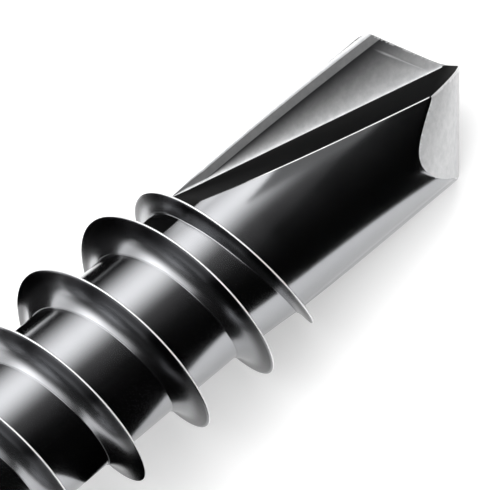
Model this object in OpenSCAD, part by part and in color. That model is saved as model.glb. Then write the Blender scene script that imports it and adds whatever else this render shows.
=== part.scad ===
// Self-drilling screw with a hexagon washer head and a two-lipped pinched drill point.
// It is one cold-forged, thread-rolled piece, and it lies on the plane z = 0 as it would
// on a bench: on the rim of its washer flange and on the heel and the cutting corner beside
// one flute, which keep it from rolling.
//
// The screw is drawn upright first. Its axis is Z, its bearing face is at z = 0 and its
// point is upwards. The thread is right-handed. Angles round the axis are counted from
// +X, towards the mouth of the first flute.

/* [Screw] */
// Length from the bearing face to the tip of the point
length = 25; // [19:0.5:50]
// Plain neck between the bearing face and the start of the thread
neck_l = 2.2; // [2.1:0.1:6]
// Fillet under the head
neck_fillet = 0.25; // [0.1:0.05:0.4]

/* [Head] */
// Width of the hexagon across its flats
hex_af = 8; // [7:0.1:10]
// Height of the head above the bearing face
head_h = 4.3; // [3:0.1:6]
// Width of the washer flange outside the hexagon's corners
flange_rim = 0.63; // [0.3:0.01:1.5]
// Thickness of the flange at its rim
flange_t = 0.9; // [0.5:0.1:1.4]
// Slope of the flange's upper side
flange_slope = 12; // [5:1:20]
// Slope of the chamfer that trims the hexagon's corners
hex_chamfer = 30; // [15:1:40]
// Distance from the flats in to the chamfer's circle on the top face
chamfer_inset = 0.2; // [0.05:0.05:0.5]

/* [Thread] */
// Diameter over the thread's crests
thread_d = 4.8; // [4.2:0.1:5.5]
// Diameter of the core between the threads
core_d = 3.36; // [3:0.02:3.6]
// Advance of the thread in one turn
pitch = 1.84; // [1.4:0.02:2.2]
// Angle between the two flanks
flank_angle = 60; // [45:1:65]
// Width of the flat on the crest
crest_w = 0.04; // [0.02:0.01:0.1]
// Distance from the tip back to the nominal place of the last crest
thread_end = 6.21; // [6:0.01:8]
// How much lower the crest of the last turn is rolled
crest_drop = 0.23; // [0:0.01:0.3]
// Distance by which the last turn is crowded back towards the head
crowding = 0.82; // [0:0.02:0.9]
// Straight pieces in one turn of the thread
thread_steps = 36; // [24:4:40]

/* [Drill point] */
// Diameter of the drill's round body
drill_d = 3.52; // [3.4:0.02:3.8]
// How far the cutting corners stand out from the round body
corner_rise = 0.105; // [0.02:0.005:0.15]
// Angle that the two lips enclose
point_angle = 115; // [100:1:135]
// Thickness of the web between the two lips
web_t = 0.4; // [0.3:0.02:0.6]
// Direction in which the relief falls away behind the lip, round the axis
relief_dir = 26.4; // [20:0.2:35]
// Distance outside the body at which the curved relief face would have turned square
relief_run = 0.11; // [0.05:0.01:1]
// Clearance angle right behind the lip
relief_angle = 30.3; // [26:0.1:34]
// Slope of the flute's root, from the web out to the surface of the body
flute_slope = 13.2; // [12:0.1:16]
// Lean of the flute's back wall
wall_lean = 18.4; // [10:0.2:25]
// Shift of the flute's root off the centre plane
root_shift = 0.125; // [0:0.005:0.2]
// Width of the raised rim along the lip
lip_rim_w = 0.25; // [0.15:0.01:0.35]
// Width of the raised rim along the margin
side_rim_w = 0.3; // [0.15:0.01:0.35]
// Depth of the pocket that the rim borders
pocket_depth = 0.07; // [0.03:0.01:0.12]

/* [Hidden] */

steel = [0.13, 0.13, 0.14];
round_fn = 96;
edge_fn = 32;
flute_turns = [0, 180];

thread_r = thread_d / 2;
core_r = core_d / 2;
drill_r = drill_d / 2;
last_crest_r = thread_r - crest_drop;
cut_r = drill_r + corner_rise;
flat_r = hex_af / 2;
hex_r = flat_r / cos(30);
flange_r = hex_r + flange_rim;
// Reach of a cutting tool that has to pass right through the screw
reach = 2 * thread_d;

// Head: the chamfer's circle on the top face, the round edges of the flange's rim, the place
// where its sloping side leaves them, and the height where that side meets the hexagon
top_r = flat_r - chamfer_inset;
chamfer_h = (hex_r - top_r) * tan(hex_chamfer);
rim_share = 0.3;
rim_round = rim_share * flange_t;
rim_r = flange_r - rim_round;
slope_start = [rim_r, flange_t - rim_round] + rim_round * [sin(flange_slope), cos(flange_slope)];
flange_top = slope_start.y + (slope_start.x - flat_r) * tan(flange_slope);

// Thread angles, in degrees along the helix. At 0 it passes the mouth of the first flute.
roll_start = -360 * (length - thread_end - neck_l) / pitch;
roll_end = 118;
start_fade = 200;
end_fade = 34;
// The last turn is lower from a half-turn before its middle
low_start = -270;
low_full = -90;
crowd_mid = -20;
crowd_reach = 225;
// How far the thread's base is sunk in the core, and its ends under the surface
thread_sink = 0.16;
end_sink = 0.05;

// Smooth step from 0 to 1 as x goes from a to b
function ease(x, a, b) = let (t = min(max((x - a) / (b - a), 0), 1)) t * t * (3 - 2 * t);

// Share of the full crowding at angle a, a rounded hump over the last turn
function crowd_share(a) =
    abs(a - crowd_mid) < crowd_reach ? pow(cos(90 * (a - crowd_mid) / crowd_reach), 2) : 0;

// Height of the crest above the bearing face at angle a
function crest_z(a) = length - thread_end + pitch * a / 360 - crowding * crowd_share(a);

// Radius of the crest at angle a, with both ends faded into the core
function full_crest_r(a) = thread_r + (last_crest_r - thread_r) * ease(a, low_start, low_full);
function crest_r(a) =
    let (sunk = core_r - end_sink,
         share = ease(a, roll_start, roll_start + start_fade)
               * (1 - ease(a, roll_end - end_fade, roll_end)))
    sunk + (full_crest_r(a) - sunk) * share;

// Corners of the thread's section at angle a, as [radius, height]
function section(a) =
    let (base_r = core_r - thread_sink,
         half = crest_w / 2,
         base = half + (crest_r(a) - base_r) * tan(flank_angle / 2))
    [[base_r, -base], [crest_r(a), -half], [crest_r(a), half], [base_r, base]];

// One thread ridge: the section, swept along the helix, with flat ends
module thread_ridge() {
    steps = ceil((roll_end - roll_start) / 360 * thread_steps);
    corners = len(section(0));
    points = [
        for (i = [0:steps])
            let (a = roll_start + (roll_end - roll_start) * i / steps)
            for (p = section(a)) [p.x * cos(a), p.x * sin(a), crest_z(a) + p.y]
    ];
    sides = [
        for (i = [0:steps - 1], j = [0:corners - 1])
            let (k = (j + 1) % corners)
            [i * corners + k, (i + 1) * corners + k, (i + 1) * corners + j, i * corners + j]
    ];
    start_face = [for (j = [corners - 1:-1:0]) j];
    end_face = [for (j = [0:corners - 1]) steps * corners + j];
    polyhedron(points, concat([start_face], sides, [end_face]), convexity = 20);
}

// Core under the thread, widening under the last crest to the drill's body
core_top = length - thread_end;
core_widen = core_top - crowding - pitch / 2;

module core() {
    rotate_extrude($fn = round_fn)
        polygon([[0, -flange_t / 2], [core_r, -flange_t / 2], [core_r, core_widen],
                 [drill_r, core_top], [0, core_top]]);
}

// Round fillet that runs from the neck into the bearing face
module neck_collar() {
    rotate_extrude($fn = round_fn) difference() {
        translate([0, -neck_fillet]) square([core_r + neck_fillet, 2 * neck_fillet]);
        translate([core_r + neck_fillet, neck_fillet]) circle(neck_fillet, $fn = edge_fn);
    }
}

// Washer flange with a rounded rim and a sloping upper side
module flange() {
    rotate([180, 0, 0]) rotate_extrude($fn = round_fn) {
        polygon([[0, 0], [rim_r, 0], [rim_r, rim_round], [flange_r, rim_round],
                 [flange_r, flange_t - rim_round], [rim_r, flange_t - rim_round],
                 slope_start, [flat_r, flange_top], [0, flange_top]]);
        for (z = [rim_round, flange_t - rim_round])
            translate([rim_r, z]) circle(rim_round, $fn = edge_fn);
    }
}

// Hexagon with its corners trimmed by a chamfer cone
module hexagon() {
    rotate([180, 0, 0]) intersection() {
        cylinder(r = hex_r, h = head_h, $fn = 6);
        union() {
            cylinder(r = 2 * hex_r, h = head_h - chamfer_h, $fn = round_fn);
            translate([0, 0, head_h - chamfer_h])
                cylinder(r1 = hex_r, r2 = top_r, h = chamfer_h, $fn = round_fn);
        }
    }
}

// Drill point. A lip runs from the web out and down to its cutting corner. In its own
// frame, X points the way the relief falls, Y square off the relief face, and Z along
// the lip towards the web.
half_point = point_angle / 2;
lip_dir = relief_dir + 90;
// Radius of the relief face, so that it reaches past the body's surface
relief_r = (drill_r - web_t / 2 + relief_run) / (1 - sin(relief_angle));
// Height of the tip above the lips' inner ends, which the curve of the relief faces gives
tip_rise = (sqrt(relief_r * relief_r - pow(relief_r * sin(relief_angle) - web_t / 2, 2))
            - relief_r * cos(relief_angle)) / sin(half_point);

module lip_frame() {
    translate([0, 0, length - tip_rise]) rotate([0, 0, relief_dir])
        translate([web_t / 2, 0, 0]) rotate([half_point, 0, 0]) children();
}

// What lies outside the curved relief face behind one lip
module relief_waste() {
    lip_frame() difference() {
        translate([-relief_r / 2, -relief_r * cos(relief_angle), -reach])
            cube([reach, reach, 2 * reach]);
        translate([-relief_r * sin(relief_angle), -relief_r * cos(relief_angle), 0])
            cylinder(r = relief_r, h = 3 * reach, center = true, $fn = round_fn);
    }
}

// Flute of the other half: its rake face holds that half's lip, and its root rises
// along the web from the core's surface to the tip
lip = [-cos(lip_dir) * sin(half_point), -sin(lip_dir) * sin(half_point), -cos(half_point)];
rake_dir = atan2(lip.y * cos(flute_slope) - lip.z * sin(flute_slope), lip.x);
notch = wall_lean - rake_dir;
mid_dir = (wall_lean + rake_dir) / 2;
// Where the root meets the lip
lip_start = (root_shift - web_t / 2 * cos(relief_dir)) / cos(lip_dir);
root_tip = [-root_shift,
            -(web_t / 2 * sin(relief_dir) + lip_start * sin(lip_dir)),
            length - tip_rise - lip_start / tan(half_point)];

module flute_frame() {
    translate(root_tip) rotate([-flute_slope, 0, 0]) children();
}

// Wedge between the rake face and the back wall, with its edge on the frame's Z axis
module wedge() {
    translate([0, 0, -reach]) linear_extrude(2 * reach)
        polygon([[0, 0], reach * [cos(rake_dir), sin(rake_dir)],
                 2 * reach * [cos(mid_dir), sin(mid_dir)],
                 reach * [cos(wall_lean), sin(wall_lean)]]);
}

// Pocket sunk in the rake face, inside its rim
module pocket() {
    sink = pocket_depth / sin(notch);
    intersection() {
        flute_frame()
            translate([-sink * cos(wall_lean), -sink * sin(wall_lean), 0]) wedge();
        cylinder(r = cut_r - side_rim_w, h = length, $fn = round_fn);
        rotate([0, 0, 180]) lip_frame()
            translate([-reach, -2 * reach - lip_rim_w, -reach]) cube(2 * reach);
    }
}

// Margin that stands a little proud of the body and carries the cutting corner. Its own
// curve is tighter than the body's, and its top lies a little behind the lip.
margin_share = 0.7;
margin_turn = 5;
margin_r = margin_share * drill_r;
margin_dir = lip_dir - margin_turn;

module drill_blank() {
    translate([0, 0, core_top]) {
        cylinder(r = drill_r, h = length - core_top, $fn = round_fn);
        for (turn = flute_turns)
            rotate([0, 0, margin_dir + turn]) translate([cut_r - margin_r, 0, 0])
                cylinder(r = margin_r, h = length - core_top, $fn = round_fn);
    }
}

module drill_point() {
    difference() {
        drill_blank();
        for (turn = flute_turns) rotate([0, 0, turn]) {
            relief_waste();
            flute_frame() wedge();
            pocket();
        }
    }
}

// The whole screw, upright
module upright_screw() {
    flange();
    hexagon();
    neck_collar();
    core();
    thread_ridge();
    drill_point();
}

// Height of the curved relief face over the point x, y
function relief_z(x, y) =
    let (fall = x * cos(relief_dir) + y * sin(relief_dir) - web_t / 2,
         along = y * cos(relief_dir) - x * sin(relief_dir),
         rise = sqrt(relief_r * relief_r - pow(fall + relief_r * sin(relief_angle), 2))
              - relief_r * cos(relief_angle))
    length - tip_rise + (rise - along * cos(half_point)) / sin(half_point);

// Heel: the corner where the flute's back wall, the relief face and the body's surface
// meet. Each step moves it along the wall to the relief face.
function wall_y(x, z) =
    root_tip.y - (root_tip.z - z) * tan(flute_slope)
    + (x + root_shift) * tan(wall_lean) / cos(flute_slope);
function heel_at(steps) =
    let (last = steps == 0 ? [drill_r, 0] : heel_at(steps - 1),
         y = wall_y(last.x, relief_z(last.x, last.y)),
         x = sqrt(drill_r * drill_r - y * y))
    [x, y, relief_z(x, y)];
solve_steps = 8;
heel = heel_at(solve_steps);

// Cutting corner: where the lip runs out through the margin's curve
lip_out = [cos(lip_dir), sin(lip_dir)];
lip_foot = web_t / 2 * [cos(relief_dir), sin(relief_dir)];
to_foot = lip_foot - (cut_r - margin_r) * [cos(margin_dir), sin(margin_dir)];
lip_run = sqrt(pow(to_foot * lip_out, 2) + margin_r * margin_r - to_foot * to_foot)
        - to_foot * lip_out;
corner = [for (p = lip_foot + lip_run * lip_out) p];
corner_z = length - tip_rise - lip_run / tan(half_point);

// At rest one flute's mouth is underneath, and three points touch the plane: the flange's
// rim, and the heel and the cutting corner on the two sides of the mouth. Each step finds
// the direction that points down from the tilt, then the tilt from that direction.
chord = -[heel.x, heel.y] - corner;
function lay_angle(r, z) =
    let (drop = rim_r - r, run = z + rim_round)
    atan2(drop, run) + asin(rim_round / norm([drop, run]));
function rest_at(steps) =
    let (last = steps == 0 ? [0, 0] : rest_at(steps - 1),
         down = atan2(chord.y, chord.x)
              - acos((corner_z - heel.z) * tan(last.y) / norm(chord)))
    [down, lay_angle(-heel.x * cos(down) - heel.y * sin(down), heel.z)];
rest = rest_at(solve_steps);
down_dir = rest.x;
// A thread that stands out further would touch before the point does
under = down_dir + (down_dir < 0 ? 0 : -360);
rest_tilt = min(rest.y, lay_angle(full_crest_r(under), crest_z(under)));

// Height of the bearing face's centre, and the laid screw's ends along X, which centre it
rest_height = rim_r * cos(rest_tilt) + rim_round * (1 - sin(rest_tilt));
x_low = -head_h * cos(rest_tilt) - top_r * sin(rest_tilt);
x_high = length * cos(rest_tilt);

module screw() {
    color(steel)
        translate([-(x_low + x_high) / 2, 0, rest_height])
            rotate([0, 90 + rest_tilt, 0]) rotate([0, 0, -down_dir]) upright_screw();
}

screw();
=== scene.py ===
"""Looks of a self-drilling screw: hexagon washer head, rolled thread and pinched drill point.

Each class holds one sub-assembly with its sizes in millimetres and degrees. Shapes are worked out
with numpy in the upright frame of the screw, where Z runs along the axis from the bearing face to
the tip, and Pose then lays them down as the CAD part lies.
"""

import logging
import math
from collections.abc import Callable
from dataclasses import dataclass, field
from enum import Enum, IntEnum
from typing import ClassVar, NamedTuple

import bmesh
import bpy
import numpy as np
from mathutils import Matrix, Vector


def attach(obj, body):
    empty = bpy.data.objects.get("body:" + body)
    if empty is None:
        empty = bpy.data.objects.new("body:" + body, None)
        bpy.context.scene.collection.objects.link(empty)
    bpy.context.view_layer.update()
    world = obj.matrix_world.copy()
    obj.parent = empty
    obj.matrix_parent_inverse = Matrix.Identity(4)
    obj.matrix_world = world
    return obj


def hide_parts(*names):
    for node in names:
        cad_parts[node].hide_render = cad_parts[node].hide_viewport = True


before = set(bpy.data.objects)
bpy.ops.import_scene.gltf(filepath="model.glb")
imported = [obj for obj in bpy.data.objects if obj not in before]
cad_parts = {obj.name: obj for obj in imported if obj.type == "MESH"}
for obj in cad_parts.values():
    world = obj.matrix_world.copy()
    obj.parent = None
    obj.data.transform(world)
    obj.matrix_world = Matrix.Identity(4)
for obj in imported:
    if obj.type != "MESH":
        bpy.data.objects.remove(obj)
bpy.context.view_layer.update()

MM = 0.001
PHOTO_PX = 490
TINY = 1e-6         # keeps divisions by nearly nothing safe
HALVINGS = 40       # steps of a search that halves its interval

log = logging.getLogger("screw")


class Finish(IntEnum):
    """Finishes of the screw, in the order of the material slots of each piece."""

    PLATED = 0
    # pale satin of pinched faces, and painted highlights on the crest, root and heel
    SATIN_AND_HIGHLIGHT = 1
    # near black: painted shade on the flute's back wall and facet
    SCALED = 2


class Leg(Enum):
    """Stretches of half the drill point's outline, in order round its section."""

    RIM = "raised rim of the rake face, next to the cutting corner"
    POCKET = "sunk part of the rake face"
    ROOT = "rounded root of the flute"
    WALL = "back wall of the flute"
    HEEL = "rounded edge between the back wall and the body"
    ROUND = "round body"
    CORNER = "rounded edge between the body and the next rake face"


def srgb(code: str) -> tuple[float, float, float, float]:
    """Turn an sRGB hex code into a linear colour.

    Args:
        code: six hex digits after a hash sign.

    Returns:
        Linear red, green, blue and an alpha of 1.
    """
    parts = [int(code[i:i + 2], 16) / 255 for i in (1, 3, 5)]
    linear = [c / 12.92 if c <= 0.04045 else ((c + 0.055) / 1.055) ** 2.4 for c in parts]
    return (*linear, 1.0)


def add_node(tree: bpy.types.NodeTree, kind: str, settings: dict | None = None,
             values: dict | None = None, links: dict | None = None) -> bpy.types.Node:
    """Add a node with its settings, its constants and what feeds it.

    Args:
        tree: the node tree that takes the node.
        kind: the node's type name.
        settings: attributes of the node.
        values: input name or index to constant.
        links: input name or index to the output socket that feeds it.

    Returns:
        The new node.
    """
    node = tree.nodes.new(kind)
    for name, value in (settings or {}).items():
        setattr(node, name, value)
    for name, value in (values or {}).items():
        node.inputs[name].default_value = value
    for name, socket in (links or {}).items():
        tree.links.new(socket, node.inputs[name])
    return node


def start_material(name: str) -> tuple[bpy.types.Material, bpy.types.NodeTree]:
    """Make a material whose node tree is empty.

    Args:
        name: name of the material.

    Returns:
        The material and its node tree.
    """
    mat = bpy.data.materials.new(name)
    mat.use_nodes = True
    mat.node_tree.nodes.clear()
    return mat, mat.node_tree


def ease(x: np.ndarray, start: float, end: float) -> np.ndarray:
    """Smooth step, 3t^2 - 2t^3, of t from 0 at start to 1 at end."""
    t = np.clip((x - start) / (end - start), 0, 1)
    return t * t * (3 - 2 * t)


def cosd(angle: np.ndarray | float) -> np.ndarray:
    """Cosine of an angle in degrees."""
    return np.cos(np.radians(angle))


def sind(angle: np.ndarray | float) -> np.ndarray:
    """Sine of an angle in degrees."""
    return np.sin(np.radians(angle))


def tand(angle: float) -> float:
    """Tangent of an angle in degrees."""
    return math.tan(math.radians(angle))


def bow(p: np.ndarray, c: np.ndarray, q: np.ndarray, t: np.ndarray) -> np.ndarray:
    """Parabola (1-t)^2 p + 2t(1-t) c + t^2 q, from p to q, which rounds the corner c."""
    return (1 - t) ** 2 * p + 2 * t * (1 - t) * c + t ** 2 * q


def halve(holds: Callable[[np.ndarray], np.ndarray], low: np.ndarray,
          high: np.ndarray) -> np.ndarray:
    """Find how far a condition holds, by halving the interval again and again.

    Args:
        holds: tells for each trial value whether the condition holds there.
        low: values where it holds.
        high: values where it no longer does.

    Returns:
        The largest value found to hold, for each place of the arrays.
    """
    for _ in range(HALVINGS):
        mid = (low + high) / 2
        held = holds(mid)
        low, high = np.where(held, mid, low), np.where(held, high, mid)
    return low


def revolve(profile: np.ndarray, steps: int) -> np.ndarray:
    """Turn a profile about Z: (r cos a, r sin a, z) for a from 0 to 360 degrees.

    Args:
        profile: rows of [radius, height].
        steps: straight pieces in one turn.

    Returns:
        Grid of shape (len(profile), steps + 1, 3).
    """
    angle = np.linspace(0, 360, steps + 1)
    radius, height = profile[:, :1], profile[:, 1:]
    return np.stack([radius * cosd(angle), radius * sind(angle), height + 0 * angle], axis=-1)


def arc(centre: tuple[float, float], radius: float, start: float, end: float,
        steps: int) -> np.ndarray:
    """Points centre + radius * (cos a, sin a) for a from start to end in degrees."""
    angle = np.linspace(start, end, steps + 1)
    return np.stack([centre[0] + radius * cosd(angle), centre[1] + radius * sind(angle)], axis=-1)


@dataclass(frozen=True)
class Pose:
    """How the upright screw lies on the floor: the lay that the CAD part has at rest."""

    tilt: float = 9.08011           # dip of the axis towards the tip
    down_dir: float = -209.487      # direction round the axis that points down
    centre_x: float = -9.920445     # place of the bearing face's middle
    rest_height: float = 5.1438

    def axes(self) -> np.ndarray:
        """Give the world directions of the screw's own X, Y and Z.

        Z is the axis, which dips by the tilt. The direction at angle down_dir round it points down.

        Returns:
            The three directions, as rows.
        """
        along = np.array([cosd(self.tilt), 0, -sind(self.tilt)])
        up = np.array([sind(self.tilt), 0, cosd(self.tilt)])
        side = np.array([0.0, 1.0, 0.0])
        own_x = -cosd(self.down_dir) * up - sind(self.down_dir) * side
        own_y = -sind(self.down_dir) * up + cosd(self.down_dir) * side
        return np.array([own_x, own_y, along])

    def place(self, points: np.ndarray) -> np.ndarray:
        """Turn upright points in millimetres into world points in metres.

        Args:
            points: array of shape (..., 3).

        Returns:
            World points of the same shape: start + x * own_x + y * own_y + z * along.
        """
        start = np.array([self.centre_x, 0, self.rest_height])
        return (np.asarray(points) @ self.axes() + start) * MM


POSE = Pose()


@dataclass
class MeshParts:
    """Grids of points that together make one closed mesh.

    Each face has a finish. Each point has a value of painted shade and tone, from 0, where the
    material's colour is painted dark, to 1, where it keeps its own colour. It is stored as an
    attribute that the materials read.
    """

    points: list[np.ndarray] = field(default_factory=list)
    faces: list[np.ndarray] = field(default_factory=list)
    finishes: list[np.ndarray] = field(default_factory=list)
    painted_shade_and_tone: list[np.ndarray] = field(default_factory=list)
    count: int = 0

    def add_grid(self, grid: np.ndarray, finish: Finish = Finish.PLATED,
                 painted_shade_and_tone: np.ndarray | float = 1.0) -> None:
        """Add a grid of quads.

        Args:
            grid: points of shape (rows, columns, 3).
            finish: finish of its faces.
            painted_shade_and_tone: one value for the grid, or one for each column or point.
        """
        rows, cols = grid.shape[:2]
        index = np.arange(rows * cols).reshape(rows, cols) + self.count
        corners = [index[:-1, :-1], index[:-1, 1:], index[1:, 1:], index[1:, :-1]]
        quads = np.stack(corners, axis=-1).reshape(-1, 4)
        self.points.append(grid.reshape(-1, 3))
        self.faces.append(quads)
        self.finishes.append(np.full(len(quads), finish, dtype=np.int32))
        self.painted_shade_and_tone.append(np.broadcast_to(painted_shade_and_tone, (rows, cols)).ravel())
        self.count += rows * cols

    def paint(self, start: int, stop: int, columns: int, period: int, finish: Finish) -> None:
        """Give another finish to a band of columns of the last grid, once in each period.

        Args:
            start: first column of faces in the band.
            stop: column after its last.
            columns: columns of faces in the grid.
            period: columns after which the band comes again.
            finish: the new finish.
        """
        column = np.arange(len(self.finishes[-1])) % columns % period
        self.finishes[-1][(column >= start) & (column < stop)] = finish

    def build(self, name: str, materials: list[bpy.types.Material], sharp: float = 30,
              weld: float = 2e-8) -> bpy.types.Object:
        """Make the Blender object: weld the seams, drop empty faces and smooth up to an angle.

        Args:
            name: name of the object.
            materials: its materials, by finish index.
            sharp: edges sharper than this angle stay crisp.
            weld: points nearer than this, in metres, become one.

        Returns:
            The object, at the origin, with its place in its mesh.
        """
        points = POSE.place(np.concatenate(self.points))
        mesh = bpy.data.meshes.new(name)
        mesh.from_pydata(points, [], np.concatenate(self.faces))
        mesh.polygons.foreach_set("material_index", np.concatenate(self.finishes))
        # each point's painted shade and tone, which the materials read
        painted_shade_and_tone = mesh.attributes.new("painted_shade_and_tone", "FLOAT", "POINT")
        painted_shade_and_tone.data.foreach_set("value", np.concatenate(self.painted_shade_and_tone).astype(np.float32))
        for material in materials:
            mesh.materials.append(material)
        shell = bmesh.new()
        shell.from_mesh(mesh)
        bmesh.ops.remove_doubles(shell, verts=shell.verts, dist=weld)
        bmesh.ops.dissolve_degenerate(shell, edges=shell.edges, dist=weld)
        bmesh.ops.recalc_face_normals(shell, faces=shell.faces)
        shell.to_mesh(mesh)
        shell.free()
        mesh.shade_smooth()
        mesh.set_sharp_from_angle(angle=math.radians(sharp))
        piece = bpy.data.objects.new(name, mesh)
        bpy.context.scene.collection.objects.link(piece)
        return piece


@dataclass(frozen=True)
class PlatedSteel:
    """Steel, cold-forged or rolled and then electroplated with zinc.

    The smooth plating mirrors the lights in long streaks with soft edges. Handling leaves faint
    clouds that change tint and gloss a little. The colour is a little darker than new zinc. Beside
    the crest of the thread, painted shade makes it much darker.
    """

    name: str = "bright_zinc_plated_steel"
    colour: str = "#A2A3A5"
    worn_colour: str = "#96979A"
    # painted shade beside the thread's crest
    painted_shade_colour: str = "#363638"
    roughness: float = 0.17
    gloss_spread: float = 0.03
    cloud_mm: float = 1.2
    grain_mm: float = 0.05          # crystals of a few micrometres, drawn as coarse as shows
    grain_depth_mm: float = 0.0004
    grain_strength: float = 0.35

    def material(self) -> bpy.types.Material:
        """Build the material: clouds in the tint and the gloss, and the grain in the bump.

        Returns:
            The material, whose tint falls to the painted shade colour where the painted shade value
            is 0.
        """
        mat, tree = start_material(self.name)
        coords = add_node(tree, "ShaderNodeTexCoord").outputs["Object"]
        clouds = add_node(tree, "ShaderNodeTexNoise", None,
                          {"Scale": 1 / (self.cloud_mm * MM), "Detail": 3.0, "Roughness": 0.55},
                          {"Vector": coords}).outputs["Fac"]
        grain = add_node(tree, "ShaderNodeTexNoise", None,
                         {"Scale": 1 / (self.grain_mm * MM), "Detail": 2.0, "Roughness": 0.5},
                         {"Vector": coords}).outputs["Fac"]
        clouded = add_node(tree, "ShaderNodeMix", {"data_type": "RGBA"},
                          {6: srgb(self.worn_colour), 7: srgb(self.colour)},
                          {0: clouds}).outputs[2]
        # painted shade: the attribute darkens the tint beside the thread's crest
        painted_shade_and_tone = add_node(tree, "ShaderNodeAttribute",
                           {"attribute_name": "painted_shade_and_tone"}).outputs["Fac"]
        tint = add_node(tree, "ShaderNodeMix", {"data_type": "RGBA"},
                        {6: srgb(self.painted_shade_colour)}, {0: painted_shade_and_tone, 7: clouded}).outputs[2]
        gloss = add_node(tree, "ShaderNodeMapRange", None,
                         {"To Min": self.roughness - self.gloss_spread,
                          "To Max": self.roughness + self.gloss_spread},
                         {"Value": clouds}).outputs["Result"]
        bump = add_node(tree, "ShaderNodeBump", None,
                        {"Strength": self.grain_strength, "Distance": self.grain_depth_mm * MM},
                        {"Height": grain}).outputs["Normal"]
        shader = add_node(tree, "ShaderNodeBsdfPrincipled", None, {"Metallic": 1.0},
                          {"Base Color": tint, "Roughness": gloss, "Normal": bump})
        add_node(tree, "ShaderNodeOutputMaterial", None, None,
                 {"Surface": shader.outputs["BSDF"]})
        return mat


@dataclass(frozen=True)
class PinchedSteel:
    """Satin steel that hard dies pinched: lips, rims, pockets, relief faces, and pale painted
    highlights.

    The die's grit leaves a fine, broken texture that scatters light, so the face looks pale and
    matt from every side and shows no streaks. Its low metallic value stands for that scatter.
    Through an attribute it is painted dark at the outer side of a pocket, as painted shade, and
    stays bright at the pocket's root and in a thin line behind the lip's rim, as painted
    highlights.
    Its pale bands on the thread's crest, the flute's root and the heel's edge are painted
    highlights.
    """

    name: str = "die_pinched_satin_steel_and_painted_light"
    colour: str = "#F4F4F5"
    dark_colour: str = "#E2E3E4"
    # painted shade in the pockets and at the heel, also mixed in to grey the rims and relief faces
    painted_shade_colour: str = "#3A3A3C"
    metallic: float = 0.25
    roughness: float = 0.45
    mottle_mm: float = 0.16
    mottle_span: tuple[float, float] = (0.35, 0.65)
    pit_mm: float = 0.03            # grit of about 0.01 mm, drawn as coarse as shows
    pit_depth_mm: float = 0.0012
    pit_strength: float = 0.5

    def material(self) -> bpy.types.Material:
        """Build the material: a broken mottle in the tint, and fine pits in the bump.

        Returns:
            The material, whose tint falls to the painted shade colour where the painted shade value
            is 0.
        """
        mat, tree = start_material(self.name)
        coords = add_node(tree, "ShaderNodeTexCoord").outputs["Object"]
        mottle = add_node(tree, "ShaderNodeTexNoise", None,
                          {"Scale": 1 / (self.mottle_mm * MM), "Detail": 4.0, "Roughness": 0.6},
                          {"Vector": coords}).outputs["Fac"]
        pits = add_node(tree, "ShaderNodeTexNoise", None,
                        {"Scale": 1 / (self.pit_mm * MM), "Detail": 2.0, "Roughness": 0.6},
                        {"Vector": coords}).outputs["Fac"]
        spread = add_node(tree, "ShaderNodeMapRange", None,
                          {"From Min": self.mottle_span[0], "From Max": self.mottle_span[1]},
                          {"Value": mottle}).outputs["Result"]
        pressed = add_node(tree, "ShaderNodeMix", {"data_type": "RGBA"},
                           {6: srgb(self.dark_colour), 7: srgb(self.colour)},
                           {0: spread}).outputs[2]
        # painted shade and painted highlights of the drill point, from the attribute
        painted_shade_and_tone = add_node(tree, "ShaderNodeAttribute",
                           {"attribute_name": "painted_shade_and_tone"}).outputs["Fac"]
        tint = add_node(tree, "ShaderNodeMix", {"data_type": "RGBA"},
                        {6: srgb(self.painted_shade_colour)}, {0: painted_shade_and_tone, 7: pressed}).outputs[2]
        bump = add_node(tree, "ShaderNodeBump", None,
                        {"Strength": self.pit_strength, "Distance": self.pit_depth_mm * MM},
                        {"Height": pits}).outputs["Normal"]
        shader = add_node(tree, "ShaderNodeBsdfPrincipled", None,
                          {"Metallic": self.metallic, "Roughness": self.roughness},
                          {"Base Color": tint, "Normal": bump})
        add_node(tree, "ShaderNodeOutputMaterial", None, None,
                 {"Surface": shader.outputs["BSDF"]})
        return mat


@dataclass(frozen=True)
class PaintedShadeBlack:
    """Painted shade: nearly black, dull steel on the flute's back wall and the small facet.

    It stands in for the dark reflections of these faces. It is rough, mirrors almost nothing, and
    differs a little in tint from patch to patch.
    """

    name: str = "painted_shade_black_steel"
    colour: str = "#050505"
    worn_colour: str = "#0C0C0D"
    roughness: float = 0.6
    specular: float = 0.02
    patch_mm: float = 0.35

    def material(self) -> bpy.types.Material:
        """Build the material: patches in the tint of an otherwise even, dull face.

        Returns:
            The material.
        """
        mat, tree = start_material(self.name)
        coords = add_node(tree, "ShaderNodeTexCoord").outputs["Object"]
        patches = add_node(tree, "ShaderNodeTexNoise", None,
                           {"Scale": 1 / (self.patch_mm * MM), "Detail": 3.0, "Roughness": 0.6},
                           {"Vector": coords}).outputs["Fac"]
        tint = add_node(tree, "ShaderNodeMix", {"data_type": "RGBA"},
                        {6: srgb(self.colour), 7: srgb(self.worn_colour)},
                        {0: patches}).outputs[2]
        shader = add_node(tree, "ShaderNodeBsdfPrincipled", None,
                          {"Metallic": 0.0, "Roughness": self.roughness,
                           "Specular IOR Level": self.specular},
                          {"Base Color": tint})
        add_node(tree, "ShaderNodeOutputMaterial", None, None,
                 {"Surface": shader.outputs["BSDF"]})
        return mat


@dataclass(frozen=True)
class MattPaint:
    """Matt paint of the studio's floor and cards: one even colour that hardly shines."""

    name: str
    colour: str
    roughness: float = 1.0
    specular: float = 0.0
    glow: float = 0.0

    def material(self) -> bpy.types.Material:
        """Build the material from constants on the shader alone.

        Returns:
            The material.
        """
        mat = bpy.data.materials.new(self.name)
        mat.use_nodes = True
        shader = mat.node_tree.nodes["Principled BSDF"]
        for name, value in (("Base Color", srgb(self.colour)), ("Roughness", self.roughness),
                            ("Specular IOR Level", self.specular),
                            ("Emission Color", srgb("#FFFFFF")),
                            ("Emission Strength", self.glow)):
            shader.inputs[name].default_value = value
        return mat


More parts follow.
